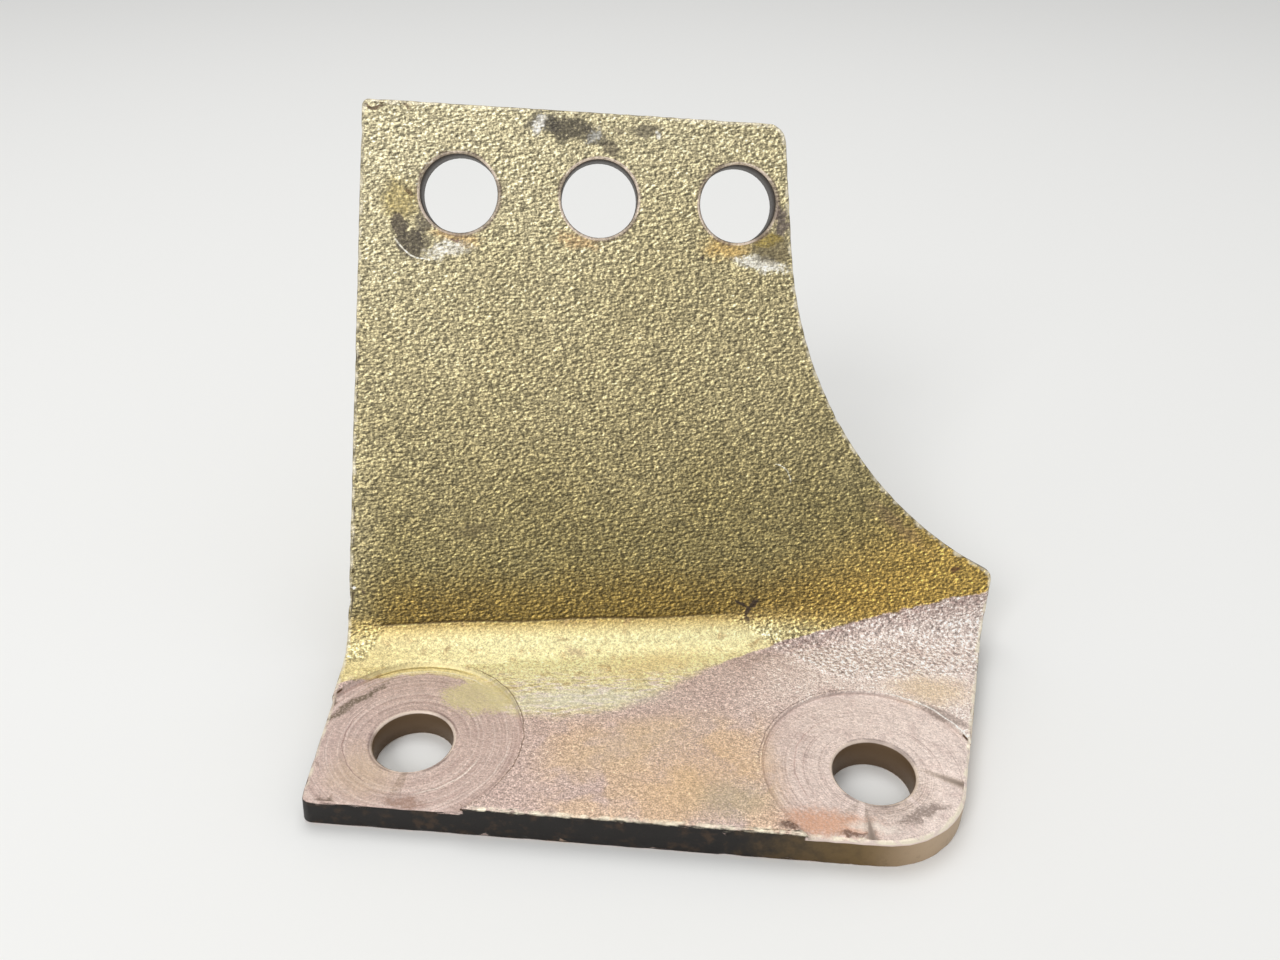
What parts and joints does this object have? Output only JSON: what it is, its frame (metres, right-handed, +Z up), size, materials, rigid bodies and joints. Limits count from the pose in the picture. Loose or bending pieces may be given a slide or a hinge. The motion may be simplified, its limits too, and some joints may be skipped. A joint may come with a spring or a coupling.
{
  "type": "turbocharger bracket",
  "caption": "One-piece bent steel plate bracket: a bored foot with spotfaces and a raked upright with a row of bores and a hollow curve on one side.",
  "frame": {"origin": "centre of the left foot bore at the foot's underside", "axes": "+Z up, square to the foot; +X along the bend towards the hollow side; -Y the way the foot reaches forward"},
  "size_m": [0.0928, 0.0689, 0.0714],
  "materials": {
    "plated_steel": "blasted steel with worn olive-gold plating, turned mauve-brown by heat on the foot"
  },
  "bodies": {
    "root": {"bracket": "plated_steel"}
  },
  "joints": []
}
